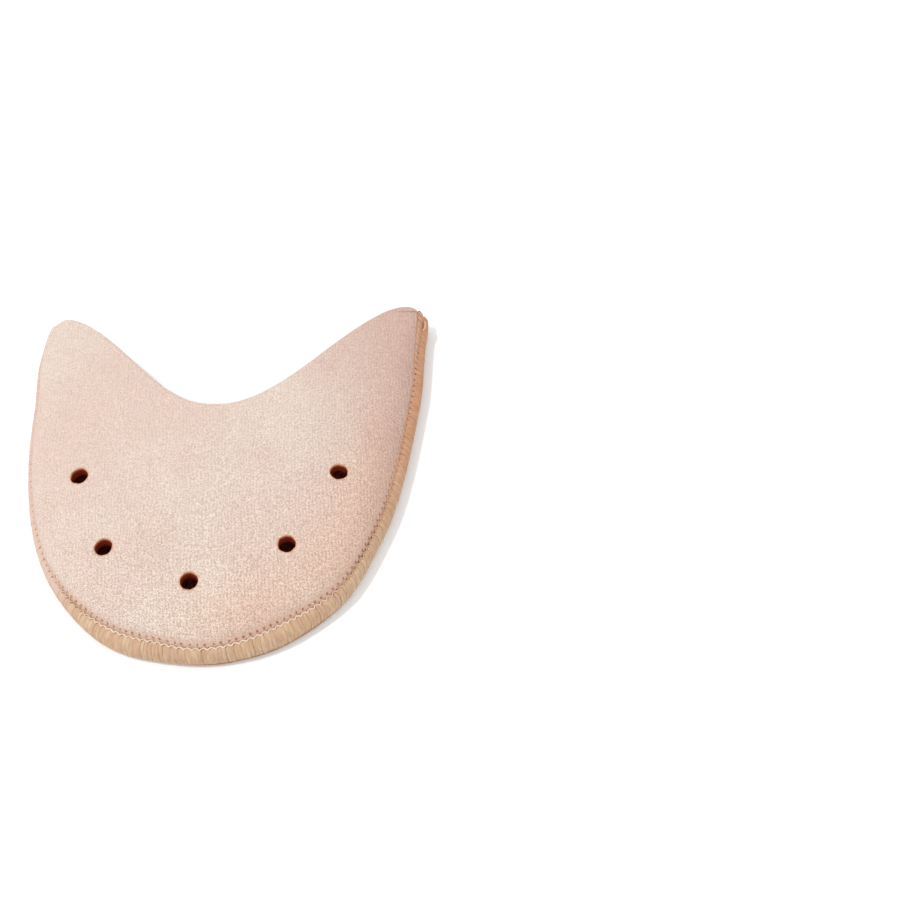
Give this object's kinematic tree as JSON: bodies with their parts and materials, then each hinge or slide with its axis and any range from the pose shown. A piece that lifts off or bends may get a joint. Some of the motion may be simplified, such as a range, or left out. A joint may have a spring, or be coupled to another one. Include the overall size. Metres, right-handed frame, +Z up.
{
  "type": "ballet toe pad",
  "caption": "Soft padded pouch worn over the toes in a pointe shoe, with a notched open mouth, vent holes and an overlocked edge.",
  "frame": {"origin": "middle of the pad's box on the surface that the pad lies on", "axes": "+X to the right across the ears, toe towards -Y, mouth towards +Y, +Z up out of the upper panel"},
  "size_m": [0.0968, 0.0911, 0.0139],
  "materials": {
    "knit_fabric": "matte brushed knit, pinkish beige",
    "lower_fabric": "matte knit, pinkish beige",
    "edging_thread": "dense overlocked thread, tan"
  },
  "bodies": {
    "root": {"top_panel": "knit_fabric", "bottom_panel": "lower_fabric", "overlock_edging": "edging_thread"}
  },
  "joints": []
}
